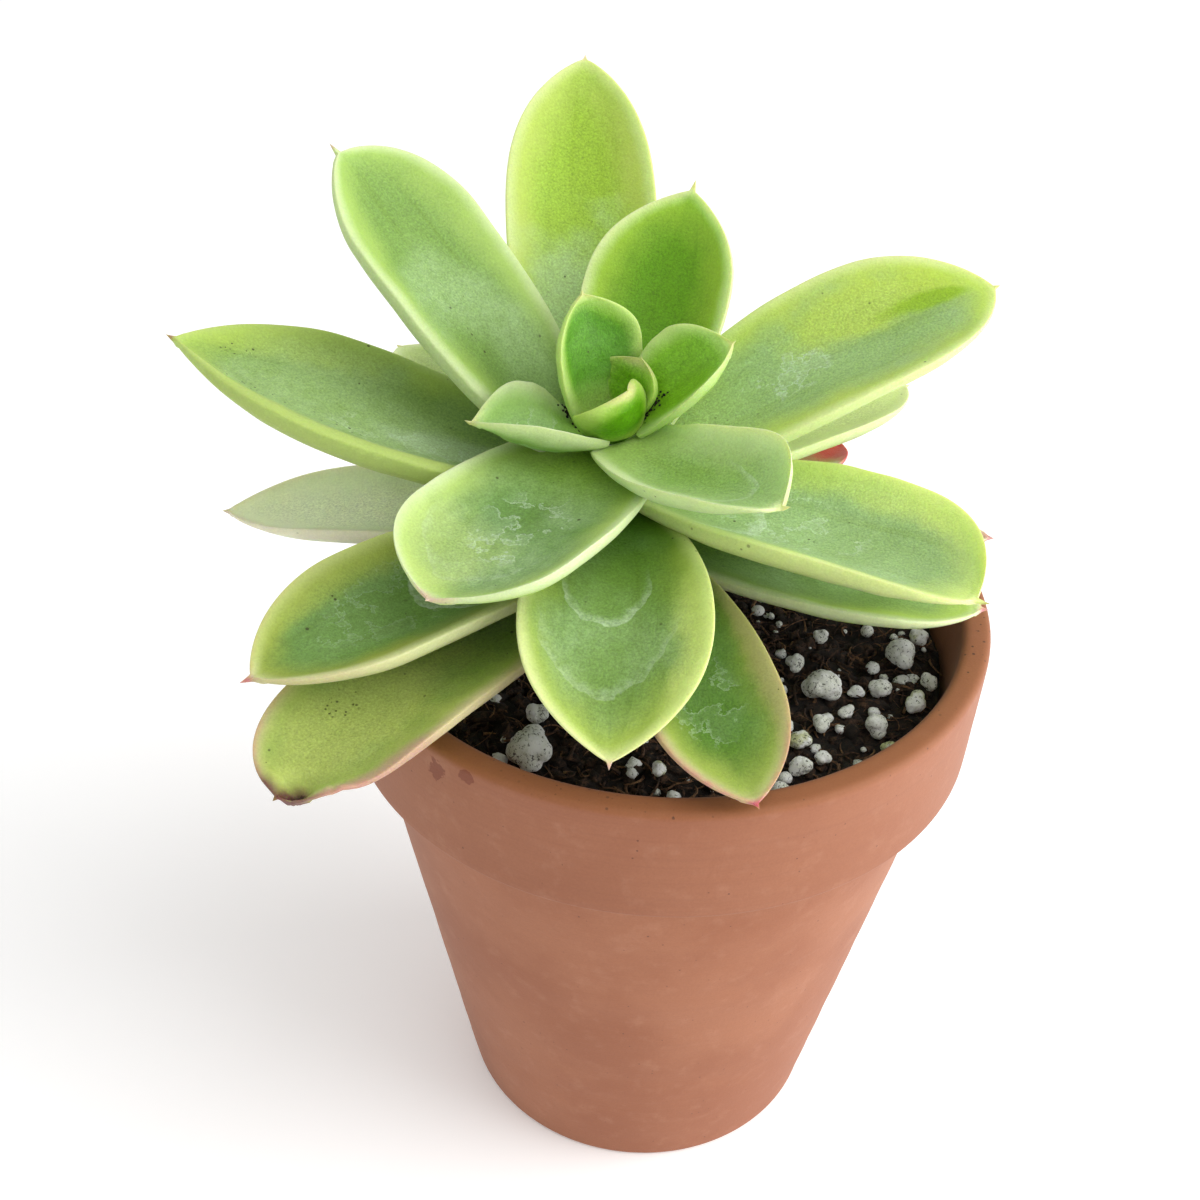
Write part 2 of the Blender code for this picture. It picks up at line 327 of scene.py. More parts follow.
def leaf_spine(leaf):
    """Places along the leaf's middle and its point, each with its right-hand and upper directions."""
    azimuth = math.radians(leaf.azimuth)
    height = leaf.height * MM
    outward = Vector((math.cos(azimuth), math.sin(azimuth), 0))
    place = stem_centre(height) + outward * (stem_radius(height) + LEAF_GAP)
    whole = leaf.length + leaf.spike
    step = whole * MM / SPINE_STEPS
    roll = math.radians(leaf.roll)
    stations = []
    for i in range(SPINE_STEPS + 1):
        s = i / SPINE_STEPS * whole / leaf.length
        rise = math.radians(leaf.rise[0] + (leaf.rise[1] - leaf.rise[0]) * s)
        hook = leaf.hook * max((min(s, 1) - HOOK_START) / (1 - HOOK_START), 0) ** 1.5
        heading = azimuth + math.radians(leaf.bend * s + hook)
        level = Vector((math.cos(heading), math.sin(heading), 0))
        along = level * math.cos(rise) + Vector((0, 0, math.sin(rise)))
        right = Vector((math.sin(heading), -math.cos(heading), 0))
        upper = right.cross(along)
        rolled_right = right * math.cos(roll) + upper * math.sin(roll)
        rolled_upper = upper * math.cos(roll) - right * math.sin(roll)
        stations.append((place.copy(), rolled_right, rolled_upper))
        place += along * step
    return stations


def leaf_wobble(leaf, s, across):
    seed = Vector((leaf.azimuth, leaf.height, leaf.length))
    wobble = noise.noise(seed + Vector((s * 3, across * 1.2, 0))) * 0.5
    return wobble + noise.noise(seed + Vector((s * 9, across * 3, 5))) * 0.15


def leaf_section(leaf, s, left, across, around):
    """Half width, and how far sideways and up a point of the section is, in millimetres."""
    on_blade = min(s, 1)
    body = leaf.width / 2 * body_share(leaf, on_blade)
    point_start = leaf.spike + POINT_BLEND
    point = 0.8 * left / point_start if left < point_start else 0.0
    side = 0 if across < 0 else 1
    half_width = max(body + leaf.flare[side] * math.sin(math.pi * on_blade) ** 0.7, point)
    thickness = max(leaf.thickness * thickness_share(on_blade), 1.6 * point)

    crease = math.sqrt(across**2 + CREASE_ROUNDING) - math.sqrt(CREASE_ROUNDING)
    envelope = math.sin(math.pi * min(0.62 * s + 0.12, 1))
    dish = (leaf.cup * across**2 + leaf.fold * crease) * envelope
    sideways = half_width * across * (1 - 0.25 * abs(dish) * across**2)
    if s > WIDEST:
        sideways += leaf.lean * leaf.width / 2 * (1 - body_share(leaf, on_blade))

    share = UPPER_SHARE if around >= 0 else UPPER_SHARE - 1
    skin = thickness * share * abs(around) ** SECTION_POWER
    if around >= 0:
        ridge = math.exp(-(((abs(across) - LIP_PLACE) / LIP_SPREAD) ** 2))
        skin += leaf.lips[side] * ridge * math.sin(math.pi * on_blade) ** 0.5
    lift = half_width * dish + skin + leaf_wobble(leaf, s, across) * min(body / 8, 1)
    for spot_along, spot_across, reach, depth in leaf.wounds:
        away = math.hypot((s - spot_along) * leaf.length, (across - spot_across) * half_width)
        torn = 1 + 0.6 * noise.noise(Vector((sideways * 0.9, s * 60, 3)))
        lift -= depth * torn * math.exp(-((away / reach) ** 2))
    return half_width, sideways, lift


def make_leaf(leaf):
    """A ball whose rings become the leaf's cross sections, from its base to its point."""
    cage = bmesh.new()
    bmesh.ops.create_uvsphere(cage, u_segments=LEAF_ROUND, v_segments=LEAF_RINGS, radius=1)
    edge_layer = cage.verts.layers.float.new("edge")
    tip_layer = cage.verts.layers.float.new("tip")
    along_layer = cage.verts.layers.float.new("along")
    across_layer = cage.verts.layers.float.new("across")
    stations = leaf_spine(leaf)
    whole = leaf.length + leaf.spike
    for vertex in cage.verts:
        x, y, z = vertex.co
        ring = math.hypot(x, y)
        across = x / ring if ring > POLE else 0.0
        around = y / ring if ring > POLE else 0.0
        share = (1 - z) / 2
        index = min(int(share * SPINE_STEPS), SPINE_STEPS - 1)
        t = share * SPINE_STEPS - index
        place, right, upper = (a.lerp(b, t) for a, b in zip(stations[index], stations[index + 1]))
        s = share * whole / leaf.length
        left = whole - share * whole
        half_width, sideways, lift = leaf_section(leaf, s, left, across, around)
        vertex.co = place + (right * sideways + upper * lift) * MM
        from_side = half_width * (1 - abs(across)) + 0.01
        from_end = left + 0.01
        vertex[edge_layer] = (from_side**-3 + from_end**-3) ** (-1 / 3)
        vertex[tip_layer] = left
        vertex[along_layer] = s
        vertex[across_layer] = across
    bmesh.ops.recalc_face_normals(cage, faces=cage.faces)
    name = leaf.name.removeprefix("leaf_") + "_leaf"
    return finished(name, cage, leaf_finish(leaf), [leaf.name])


POWDER = tone(170, 198, 146)
RUBBED = tone(206, 222, 196)
SCRATCHED = tone(206, 224, 198)
BLUSHED = tone(182, 112, 116)
SPECKED = tone(58, 56, 30)


class LeafSkin(Finish):
    """Fleshy skin, laid from the blade's own colours up to the marks on it."""

    def __init__(self, leaf):
        super().__init__(leaf.name.removeprefix("leaf_") + "_skin")
        self.leaf = leaf
        self.edge = self.attribute("edge")
        self.tip = self.attribute("tip")
        self.along = self.attribute("along")
        self.across = self.attribute("across")
        self.broad = self.clouds(48, 2, 0.5)
        self.patchy = self.clouds(120, 3, 0.55)
        self.mottle = self.clouds(520, 3, 0.6)
        self.grain = self.clouds(2800, 2, 0.7)
        wander = self.plus(self.times_plus(self.broad, 8.0, -4.0), self.times_plus(self.patchy, 4.0, -2.0))
        self.inward = self.plus(self.edge, wander)
        self.inner = self.step(self.inward, 0.8, leaf.band_width)
        self.waver = self.times_plus(self.patchy, 0.45, self.times_plus(self.mottle, 0.08, -0.27))

    def distance(self, patch, waver):
        """Distance from a patch's middle, 1 on its outline."""
        place_along, place_across, reach_along, reach_across = patch[:4]
        x = self.times_plus(self.along, 1 / reach_along, -place_along / reach_along)
        y = self.times_plus(self.across, 1 / reach_across, -place_across / reach_across)
        square = self.times_plus(x, x, self.times(y, y))
        return self.plus(self.maths("SQRT", square), waver)

    def blade(self):
        """A pale margin, a bright band, then the streaked and powdery middle."""
        leaf = self.leaf
        red, green, blue = tone(*leaf.middle)
        colour = self.mix(tone(*leaf.band), tone(*leaf.middle), self.inner)
        streak_place = self.joined(self.times(self.across, 5.0), self.along, leaf.azimuth / 40)
        streaks = self.clouds(1.4, 3, 0.55, streak_place)
        deep = self.times(self.step(streaks, 0.48, 0.72), self.step(self.inward, 2.0, leaf.band_width))
        colour = self.mix(colour, (red * 0.74, green * 0.74, blue * 0.4), self.times(deep, leaf.vein))
        powder = self.times(self.step(self.broad, 0.38, 0.62), self.step(self.mottle, 0.2, 0.8, 0.5, 1.0))
        colour = self.mix(colour, POWDER, self.times(powder, self.inner, leaf.bloom))
        colour = self.mix(colour, tone(*leaf.foot), self.times(self.fall(self.along, 0.05, 0.42), 0.85))
        rim = self.fall(self.times_plus(self.patchy, 1.6, self.edge), 0.9, 4.2)
        return self.mix(colour, tone(*leaf.margin), self.times(rim, 0.9))

    def tinted(self, colour):
        waver = self.times_plus(self.patchy, 0.9, -0.45)
        for tint in self.leaf.tints:
            *_, strength, shade = tint
            patch = self.fall(self.distance(tint, waver), 0.45, 1.05)
            colour = self.mix(colour, tone(*shade), self.times(patch, strength))
        return colour

    def rubbed(self, colour):
        """Contact marks: broken pale lines that fade inwards, on a patch's outer end only."""
        for rub in self.leaf.rubs:
            middle, _, reach, _, strength = rub
            ring = self.distance(rub, self.waver)
            line = self.times(self.step(ring, 0.84, 1.0), self.fall(ring, 1.0, 1.015))
            outer_end = self.step(self.along, middle + 0.1 * reach, middle + 0.7 * reach)
            broken = self.step(self.mottle, 0.3, 0.6, 0.35, 1.0)
            colour = self.mix(colour, RUBBED, self.times(line, outer_end, broken, strength))
        return colour

    def scratched(self, colour):
        for scratch in self.leaf.scratches:
            area = self.fall(self.distance(scratch, self.waver), 0.75, 1.0)
            flakes = self.clouds(150, 6, 0.62)
            lines = self.minus(self.step(flakes, 0.508, 0.514), self.step(flakes, 0.512, 0.55, 0.0, 0.8))
            colour = self.mix(colour, SCRATCHED, self.times(lines, area, scratch[4]))
        return colour

    def blushed(self, colour):
        """Pink on the margin, stronger towards the point."""
        margin = self.fall(self.times_plus(self.patchy, 1.6, self.edge), 0.6, 2.6)
        outer = self.fall(self.tip, 4.0, 26.0)
        flush = self.times(margin, outer, self.step(self.mottle, 0.3, 0.6, 0.4, 1.0))
        return self.mix(colour, BLUSHED, self.times(flush, self.leaf.blush))

    def pointed(self, colour):
        reach = self.leaf.tip_reach
        ragged = self.times_plus(self.patchy, -reach, self.plus(self.tip, 0.5 * reach))
        end = self.fall(ragged, 0.3 * reach, reach)
        return self.mix(colour, tone(*self.leaf.tip), self.times(end, 0.9))

    def specked(self, colour):
        """Specks of soil, thin over the whole leaf and thick where it gathers."""
        flecks = self.times(self.dots(1100, 0.42, self.leaf.specks), self.step(self.broad, 0.4, 0.6))
        for soot in self.leaf.soots:
            area = self.fall(self.distance(soot, self.waver), 0.5, 1.0)
            flecks = self.maths("MAXIMUM", flecks, self.times(self.dots(1500, 0.5, 0.55), area))
        return self.mix(colour, SPECKED, self.times(flecks, 0.85))

    def grained(self, colour):
        """Fine light and dark, weaker on the pale margin."""
        depth = self.times_plus(self.inner, 0.9, 0.3)
        shade = self.times_plus(self.minus(self.grain, 0.5), depth, 1.0)
        return self.shaded(colour, self.times(shade, self.times_plus(self.mottle, 0.14, 0.93)))


def leaf_finish(leaf):
    skin = LeafSkin(leaf)
    colour = skin.scratched(skin.rubbed(skin.tinted(skin.blade())))
    if leaf.blush > 0:
        colour = skin.blushed(colour)
    skin.colour(skin.grained(skin.specked(skin.pointed(colour))))
    skin.roughness(skin.times_plus(skin.mottle, 0.2, 0.42))
    skin.shine(0.28)
    skin.relief(skin.times_plus(skin.grain, 0.7, skin.mottle), 0.18 * MM, 0.7)
    skin.flesh(leaf.glow, (0.7, 1.0, 0.2), 3.0 * MM)
    return skin.material


LEAVES = [
    # the outer ring, nearest the soil
    Leaf(
        "leaf_outer_front_left", -129, 115, (-5, -7), 67, 26, cup=0.2, hook=12, bluntness=4.4,
        neck=0.4,
        wounds=((0.96, -0.25, 2.2, 2.2), (0.985, 0.35, 2.0, -1.0), (0.93, -0.8, 2.5, -1.0)),
        middle=(128, 156, 66), band=(168, 184, 92), margin=(196, 182, 142), tip=(92, 44, 50),
        tip_reach=4.0, bloom=0.15, blush=0.6, specks=0.06,
        tints=(
            (0.75, 0.1, 0.36, 1.0, 0.6, (184, 194, 104)),
            (0.84, -0.98, 0.2, 0.3, 0.5, (176, 126, 124)),
            (0.975, -0.3, 0.04, 0.45, 0.9, (112, 48, 66)),
            (0.965, -0.28, 0.018, 0.2, 0.95, (40, 24, 20)),
        ),
        soots=((0.75, 0.35, 0.06, 0.25),),
    ),
    Leaf(
        "leaf_outer_front_right", -72, 117, (-9, -11), 51, 23, 3.5, cup=0.2, bend=8, bluntness=3,
        middle=(80, 120, 32), band=(148, 166, 72), margin=(184, 176, 130), foot=(52, 92, 12),
        tip=(176, 40, 92), tip_reach=1.8, bloom=0.12, blush=0.75,
        scratches=((0.62, 0.1, 0.2, 0.6, 0.25),),
        tints=((0.6, -0.95, 0.4, 0.35, 0.7, (170, 162, 108)),),
    ),
    Leaf(
        "leaf_outer_right", -8, 114.5, (-12, 4), 49.5, 25, 3.5, cup=0.2,
        middle=(128, 160, 84), foot=(96, 136, 40), tip=(206, 110, 140), bloom=0.6,
    ),
    Leaf(
        "leaf_outer_back_right", 50, 116, (-10, -6), 50, 20, 3, tip=(190, 8, 32), tip_reach=18,
        blush=1.0,
    ),
    Leaf(
        "leaf_outer_back", 113, 114, (-8, -4), 52, 22, 3.5, blush=0.3,
    ),
    Leaf(
        "leaf_outer_left", 175, 117, (-8, -3), 61, 22, 3.5, middle=(206, 218, 172),
        band=(210, 220, 176), margin=(216, 212, 188), foot=(190, 200, 150), tip=(190, 164, 150),
        vein=0.0, bloom=0.15, blush=0.12, glow=0.45,
        tints=((0.8, 0.0, 0.45, 1.1, 0.8, (234, 240, 206)),),
    ),
    # the lower ring
    Leaf(
        "leaf_lower_front_left", -138, 120, (-4, 0), 61, 26, roll=6, bluntness=3, lips=(0.9, 0.2),
        spike=1.4,
        middle=(104, 142, 62), band=(158, 170, 70), margin=(208, 212, 160), foot=(126, 160, 70),
        tip=(176, 84, 112), tip_reach=2.8, bloom=0.15, blush=0.3,
        rubs=((0.30, 0.05, 0.24, 0.8, 0.5),),
        scratches=((0.55, 0.1, 0.3, 0.6, 0.2),),
        tints=((0.72, 0.85, 0.42, 0.5, 0.5, (174, 190, 84)),),
        soots=((0.72, 0.5, 0.03, 0.1), (0.76, 0.1, 0.03, 0.08), (0.6, -0.1, 0.03, 0.06)),
    ),
    Leaf(
        "leaf_lower_right", 12, 120.5, (-7, -13), 57, 17, 3, cup=0.2,
        middle=(150, 180, 120), tip=(180, 110, 124), tip_reach=4,
    ),
    Leaf(
        "leaf_lower_back_right", 42, 123.8, (-5, 0), 60, 23, 3.5, middle=(196, 214, 134),
        band=(204, 220, 140), margin=(208, 218, 160), vein=0.2, bloom=0.1,
    ),
    Leaf(
        "leaf_lower_back", 91, 118, (-2, 4), 56, 22, 3.5,
    ),
    Leaf(
        "leaf_lower_back_left", 133, 121, (-4, 5), 58, 24, 3.5, middle=(170, 190, 120),
        band=(185, 200, 130),
    ),
    # the middle ring
    Leaf(
        "leaf_middle_front", -88, 123, (2, -27), 48, 30, 4.2, fold=0.05, bluntness=2.4, neck=0.4,
        spike=0.8,
        middle=(108, 142, 60), band=(166, 188, 78), margin=(214, 222, 158), foot=(70, 116, 10),
        tip=(206, 150, 150), band_width=9, bloom=0.45,
        rubs=((0.28, 0.12, 0.29, 0.5, 0.42), (0.44, 0.1, 0.36, 0.72, 0.22)),
        tints=((0.62, -0.9, 0.42, 0.4, 0.55, (208, 224, 130)),),
    ),
    Leaf(
        "leaf_middle_right", -21, 126.3, (-8, 7), 55, 28, hook=-6, bluntness=4.4,
        lips=(0.3, 0.9), lean=0.35, flare=(1.6, 0), spike=1.8,
        middle=(142, 172, 110), band=(190, 210, 118), margin=(212, 224, 150), foot=(150, 182, 104),
        tip=(160, 150, 90),
        rubs=((0.12, 0.2, 0.25, 0.7, 0.4),),
        scratches=((0.42, 0.0, 0.26, 0.6, 0.4),),
        tints=((0.6, -0.85, 0.45, 0.4, 0.5, (206, 226, 120)),),
        soots=((0.5, 0.15, 0.03, 0.08),),
    ),
    Leaf(
        "leaf_middle_left", 181, 124.5, (9, 30), 67, 30, 4.3, cup=0.15, bluntness=2.4,
        lips=(1.6, 0.3), flare=(0, 2.0), spike=0.8,
        middle=(128, 160, 74), band=(170, 194, 84), margin=(178, 196, 116), foot=(108, 146, 52),
        tip=(140, 80, 75), tip_reach=1.6, specks=0.03,
        scratches=((0.45, -0.3, 0.2, 0.4, 0.25),),
        tints=(
            (0.55, -0.95, 0.5, 0.45, 0.8, (166, 186, 100)),
            (0.72, 0.75, 0.35, 0.45, 0.5, (172, 196, 92)),
            (0.3, -0.1, 0.25, 0.3, 0.4, (176, 200, 160)),
        ),
        soots=((0.80, -0.42, 0.15, 0.15), (0.60, -0.4, 0.12, 0.13), (0.86, 0.4, 0.06, 0.2)),
    ),
    # the upper ring
    Leaf(
        "leaf_upper_front_left", -119, 131.5, (-13, 10), 43, 30, cup=0.35, fold=0.05, bend=-1,
        bluntness=3.6, neck=0.72, flare=(1.8, 0), spike=0.5,
        middle=(108, 146, 72), band=(182, 208, 112), margin=(206, 222, 172), foot=(134, 172, 48),
        tip=(215, 180, 165), band_width=9, bloom=0.6,
        rubs=((0.5, 0.1, 0.36, 0.7, 0.15),),
        scratches=((0.5, 0.0, 0.26, 0.5, 0.5),),
        tints=((0.78, 0.4, 0.3, 0.7, 0.35, (206, 226, 138)),),
    ),
    Leaf(
        "leaf_upper_right", 19, 128.2, (27, 20), 61, 30, 4.3, fold=0.05, roll=-10, bluntness=3.2,
        spike=0.6,
        middle=(150, 184, 112), band=(190, 211, 92), margin=(212, 224, 160), foot=(192, 218, 138),
        band_width=9, glow=0.5,
        scratches=((0.42, 0.0, 0.14, 0.35, 0.5),),
        tints=(
            (0.7, -0.4, 0.3, 0.45, 0.6, (188, 210, 66)),
            (0.83, -0.2, 0.14, 0.2, 0.8, (138, 178, 20)),
        ),
    ),
    Leaf(
        "leaf_upper_back", 111, 122.5, (39, 49), 72, 26.5, 4.3, fold=0.05, bend=-22, bluntness=3,
        spike=0.3,
        middle=(152, 186, 56), band=(180, 200, 92), margin=(204, 216, 150), foot=(165, 193, 130),
        tip=(214, 190, 160), tip_reach=1.4, vein=0.4, bloom=0.1, glow=0.5,
        tints=((0.22, 0.0, 0.42, 1.3, 0.8, (178, 206, 146)),),
    ),
    Leaf(
        "leaf_upper_back_left", 155, 127, (36, 44), 62, 28, 4.3, cup=0.15, bend=-12, hook=20,
        bluntness=4, lips=(1.0, 0.3), lean=-0.1, spike=1.6,
        middle=(120, 154, 74), band=(156, 186, 92), margin=(194, 210, 156), foot=(128, 166, 76),
        tip=(165, 130, 110), tip_reach=1.5,
        soots=((0.45, -0.25, 0.2, 0.05),),
    ),
    # the inner leaves and the bud
    Leaf(
        "leaf_inner_front_right", -57, 134, (-2, 28), 35, 20, 3, cup=0.4, roll=-10, bend=30,
        bluntness=5.5, neck=0.6, lean=0.4, spike=1.2,
        middle=(136, 176, 84), band=(186, 210, 140), margin=(204, 220, 160), foot=(162, 194, 98),
        rubs=((0.5, 0.1, 0.35, 0.6, 0.25),),
        tints=((0.55, 0.9, 0.45, 0.4, 0.6, (206, 226, 168)),),
    ),
    Leaf(
        "leaf_inner_right", 12, 135.6, (38, 46), 20, 16.5, 2.5, cup=0.25, fold=0.3, roll=-18,
        bend=-5, spike=0.5,
        middle=(120, 176, 26), band=(140, 188, 56), margin=(190, 214, 136), foot=(128, 176, 40),
        band_width=4, bloom=0.1,
        young=True,
    ),
    Leaf(
        "leaf_inner_back", 74, 131, (40, 58), 41, 26, 3.5, cup=0.3, fold=0.05, bend=-6,
        bluntness=2.4, spike=1.4,
        middle=(104, 158, 12), band=(160, 196, 60), margin=(214, 228, 168), foot=(110, 162, 4),
        band_width=9, bloom=0.05, glow=0.5,
        young=True,
    ),
    Leaf(
        "leaf_inner_left", -140, 134.2, (10, 22), 20, 15, 2.5, cup=0.3, fold=0.4, bend=-50,
        bluntness=5, lean=-0.3, spike=0.9,
        middle=(122, 162, 80), band=(146, 184, 92), margin=(206, 223, 166), foot=(118, 166, 50),
        scratches=((0.5, 0.0, 0.3, 0.6, 0.3),),
        young=True,
    ),
    Leaf(
        "leaf_heart_back", 134, 135, (66, 84), 20, 17.5, 2.5, cup=0.3, neck=0.6,
        middle=(80, 140, 10), band=(130, 176, 52), margin=(184, 208, 124), foot=(166, 196, 96),
        band_width=4, bloom=0.1,
        young=True,
    ),
    Leaf(
        "leaf_bud_back", 50, 136.9, (64, 72), 8.5, 13, 2, cup=0.3, spike=0.3,
        middle=(110, 166, 18), band=(140, 186, 48), margin=(176, 204, 104), foot=(120, 172, 30),
        band_width=2, bloom=0.0,
        young=True,
    ),
    Leaf(
        "leaf_bud_front", -85, 135.5, (50, 80), 11, 14, 2.5, cup=0.3, roll=-10, bend=55, neck=0.6,
        spike=0.3,
        middle=(88, 148, 0), band=(120, 172, 24), margin=(178, 205, 104), foot=(158, 190, 80),
        band_width=3, bloom=0.0,
        young=True,
    ),
]



# ---------------------------------------------------------------- the pot

POT_HEIGHT = 105 * MM
RIM_RADIUS = 52.5 * MM
BAND_HEIGHT = 21.2 * MM
BAND_FOOT_RADIUS = 51.7 * MM
NECK_RADIUS = 48.2 * MM
BASE_RADIUS = 32.3 * MM
FLOOR_THICKNESS = 6 * MM
WALL_THICKNESS = 4.5 * MM
# how much thinner the wall is under the band
NECK_THINNING = 2 * MM
HOLE_RADIUS = 6 * MM
POT_STEPS = 240
POT_RIPPLE = 0.10 * MM
# dark flaked spots on the band: place from the pot's axis and size, in millimetres, and how far
# their outlines are pushed in and out
CHIPS = [((-31.1, -42.0, 102), 2.0), ((-26.9, -44.8, 103), 0.8)]
CHIP_RAGGEDNESS = 7


def clay_finish():
    """Matt fired clay: turning streaks on the band, pale dust, dark grit and chips."""
    clay = Finish("fired_clay", 0.62)
    level = clay.height()
    clouds = clay.clouds(38, 4, 0.55)
    mottle = clay.clouds(260, 4, 0.6)
    grain = clay.clouds(2600, 2, 0.6)
    turning = clay.clouds(16, 5, 0.7, clay.stretched(1, 1, 110))
    band = clay.step(level, POT_HEIGHT - BAND_HEIGHT - 0.2 * MM, POT_HEIGHT - BAND_HEIGHT + 0.2 * MM)

    colour = clay.mix(tone(159, 100, 68), tone(148, 88, 56), clay.step(clouds, 0.35, 0.65))
    streaks = clay.times(clay.step(turning, 0.42, 0.7), clay.times_plus(band, 0.22, 0.06))
    colour = clay.mix(colour, tone(128, 76, 54), streaks)
    colour = clay.mix(colour, tone(148, 94, 68), clay.times(band, 0.5))
    dust = clay.times(clay.step(mottle, 0.5, 0.8), 0.16)
    colour = clay.mix(colour, tone(196, 146, 120), dust)
    lip = clay.step(level, POT_HEIGHT - 1.2 * MM, POT_HEIGHT - 0.3 * MM)
    colour = clay.mix(colour, tone(140, 86, 50), clay.times(lip, 0.75))
    grit = clay.dots(1700, 0.4, 0.03)
    colour = clay.mix(colour, tone(84, 46, 34), clay.times(grit, 0.7))
    on_lip = clay.times(lip, clay.step(clouds, 0.4, 0.6))
    soil_grit = clay.times(clay.dots(1500, 0.5, 0.2), on_lip)
    colour = clay.mix(colour, tone(44, 32, 24), clay.times(soil_grit, 0.85))
    flaked = 0.0
    for chip, size in CHIPS:
        spot = clay.add("ShaderNodeVectorMath", operation="DISTANCE")
        clay.feed(spot.inputs[0], clay.place)
        spot.inputs[1].default_value = AXIS + Vector(chip) * MM
        ragged = clay.times_plus(clouds, CHIP_RAGGEDNESS * MM, spot.outputs["Value"])
        ragged = clay.times_plus(mottle, CHIP_RAGGEDNESS * MM, ragged)
        outline = size + CHIP_RAGGEDNESS
        flake = clay.fall(ragged, (outline - 0.1) * MM, (outline + 0.1) * MM)
        flaked = clay.maths("MAXIMUM", flake, flaked)
    colour = clay.mix(colour, tone(122, 62, 38), clay.times(flaked, 0.85))
    clay.colour(clay.shaded(colour, clay.times_plus(grain, 0.24, 0.88)))
    clay.shader.inputs["Sheen Weight"].default_value = 0.06
    clay.shine(0.3)
    relief = clay.times_plus(turning, 0.6, clay.times_plus(grain, 0.5, mottle))
    clay.relief(relief, 0.08 * MM, 0.5)
    return clay.material


def spun(cage, profile, steps):
    """Turns a profile of (radius, height) round the pot's axis into a closed skin."""
    verts = [cage.verts.new((AXIS.x + radius, AXIS.y, height)) for radius, height in profile]
    edges = [cage.edges.new(pair) for pair in zip(verts, verts[1:])]
    if profile[0][0] > 0:
        edges.append(cage.edges.new((verts[-1], verts[0])))
    bmesh.ops.spin(
        cage, geom=verts + edges, cent=AXIS, axis=(0, 0, 1), angle=math.tau, steps=steps, use_merge=True
    )
    bmesh.ops.remove_doubles(cage, verts=cage.verts, dist=0.002 * MM)
    bmesh.ops.recalc_face_normals(cage, faces=cage.faces)


def run(start, end, parts):
    """Points from start towards end, without the end."""
    return [tuple(Vector(start).lerp(Vector(end), i / parts)) for i in range(parts)]


def rounded(corner, before, after, size, parts=5):
    """A curve that cuts a corner, from size before it to size after it."""
    corner = Vector(corner)
    start = corner + (Vector(before) - corner).normalized() * size
    end = corner + (Vector(after) - corner).normalized() * size
    points = []
    for i in range(parts + 1):
        t = i / parts
        points.append(tuple(start * (1 - t) ** 2 + corner * 2 * t * (1 - t) + end * t**2))
    return points


def make_pot():
    band_foot = POT_HEIGHT - BAND_HEIGHT
    rim_inside = RIM_RADIUS - WALL_THICKNESS
    neck_inside = NECK_RADIUS - WALL_THICKNESS + NECK_THINNING
    base_inside = BASE_RADIUS - WALL_THICKNESS
    # each corner's place, its rounding in millimetres, and the steps to the next one
    corners = [
        ((RIM_RADIUS, POT_HEIGHT), 1.4, 12),
        ((BAND_FOOT_RADIUS, band_foot), 0.55, 2),
        ((NECK_RADIUS, band_foot), 0.5, 40),
        ((BASE_RADIUS, 0), 0.9, 6),
        ((HOLE_RADIUS, 0), 0.5, 3),
        ((HOLE_RADIUS, FLOOR_THICKNESS), 0.5, 6),
        ((base_inside, FLOOR_THICKNESS), 1.5, 30),
        ((neck_inside, band_foot), 1.0, 14),
        ((rim_inside, POT_HEIGHT), 1.4, 2),
    ]
    places = [place for place, _, _ in corners]
    bends = []
    for i, (place, rounding, _) in enumerate(corners):
        bends.append(rounded(place, places[i - 1], places[(i + 1) % len(places)], rounding * MM))
    profile = []
    for i, (_, _, parts) in enumerate(corners):
        following = bends[(i + 1) % len(bends)]
        profile += bends[i][:-1] + run(bends[i][-1], following[0], parts)
    cage = bmesh.new()
    spun(cage, profile, POT_STEPS)
    for vertex in cage.verts:
        outward = Vector((vertex.co.x - AXIS.x, vertex.co.y - AXIS.y, 0))
        ripple = noise.noise(Vector((outward.x * 20, outward.y * 20, vertex.co.z * 160)))
        vertex.co += outward.normalized() * ripple * POT_RIPPLE
    finished("clay_pot", cage, clay_finish(), ["pot"])


# ---------------------------------------------------------------- the soil

SOIL_TOP_AT_WALL = 94 * MM
SOIL_TOP_AT_STEM = 95.5 * MM
SOIL_RADIUS = 45.9 * MM
SOIL_GAP = 0.4 * MM
# above this height the soil is loose, and its surface is the ground's
LOOSE_SOIL_FROM = POT_HEIGHT - BAND_HEIGHT + 6 * MM
SOIL_STEPS = 220
FIBRES = 2200
CRUMBS = 1300
LONG_CRUMB = 2.6


def ground(x, y):
    """Height of the loose peat at a place measured from the pot's axis."""
    share = min(math.hypot(x, y) / SOIL_RADIUS, 1)
    smooth = SOIL_TOP_AT_STEM + (SOIL_TOP_AT_WALL - SOIL_TOP_AT_STEM) * share**2
    lumps = noise.noise(Vector((x, y, 0)) * 140) * 1.2 + noise.noise(Vector((x, y, 0.3)) * 380) * 1.2
    crumbs = noise.noise(Vector((x, y, 0.7)) * 1100) * 0.6
    return smooth + (lumps + crumbs) * MM


def peat_finish(name, low, high):
    peat = Finish(name, 0.95)
    clouds = peat.clouds(700, 4, 0.7)
    grain = peat.clouds(3500, 3, 0.7)
    colour = peat.mix(tone(*low), tone(*high), peat.step(clouds, 0.42, 0.72))
    peat.colour(peat.mix(colour, tone(8, 6, 5), peat.step(grain, 0.35, 0.55, 0.7, 0.0)))
    peat.relief(peat.plus(clouds, grain), 0.5 * MM, 1.0)
    return peat.material


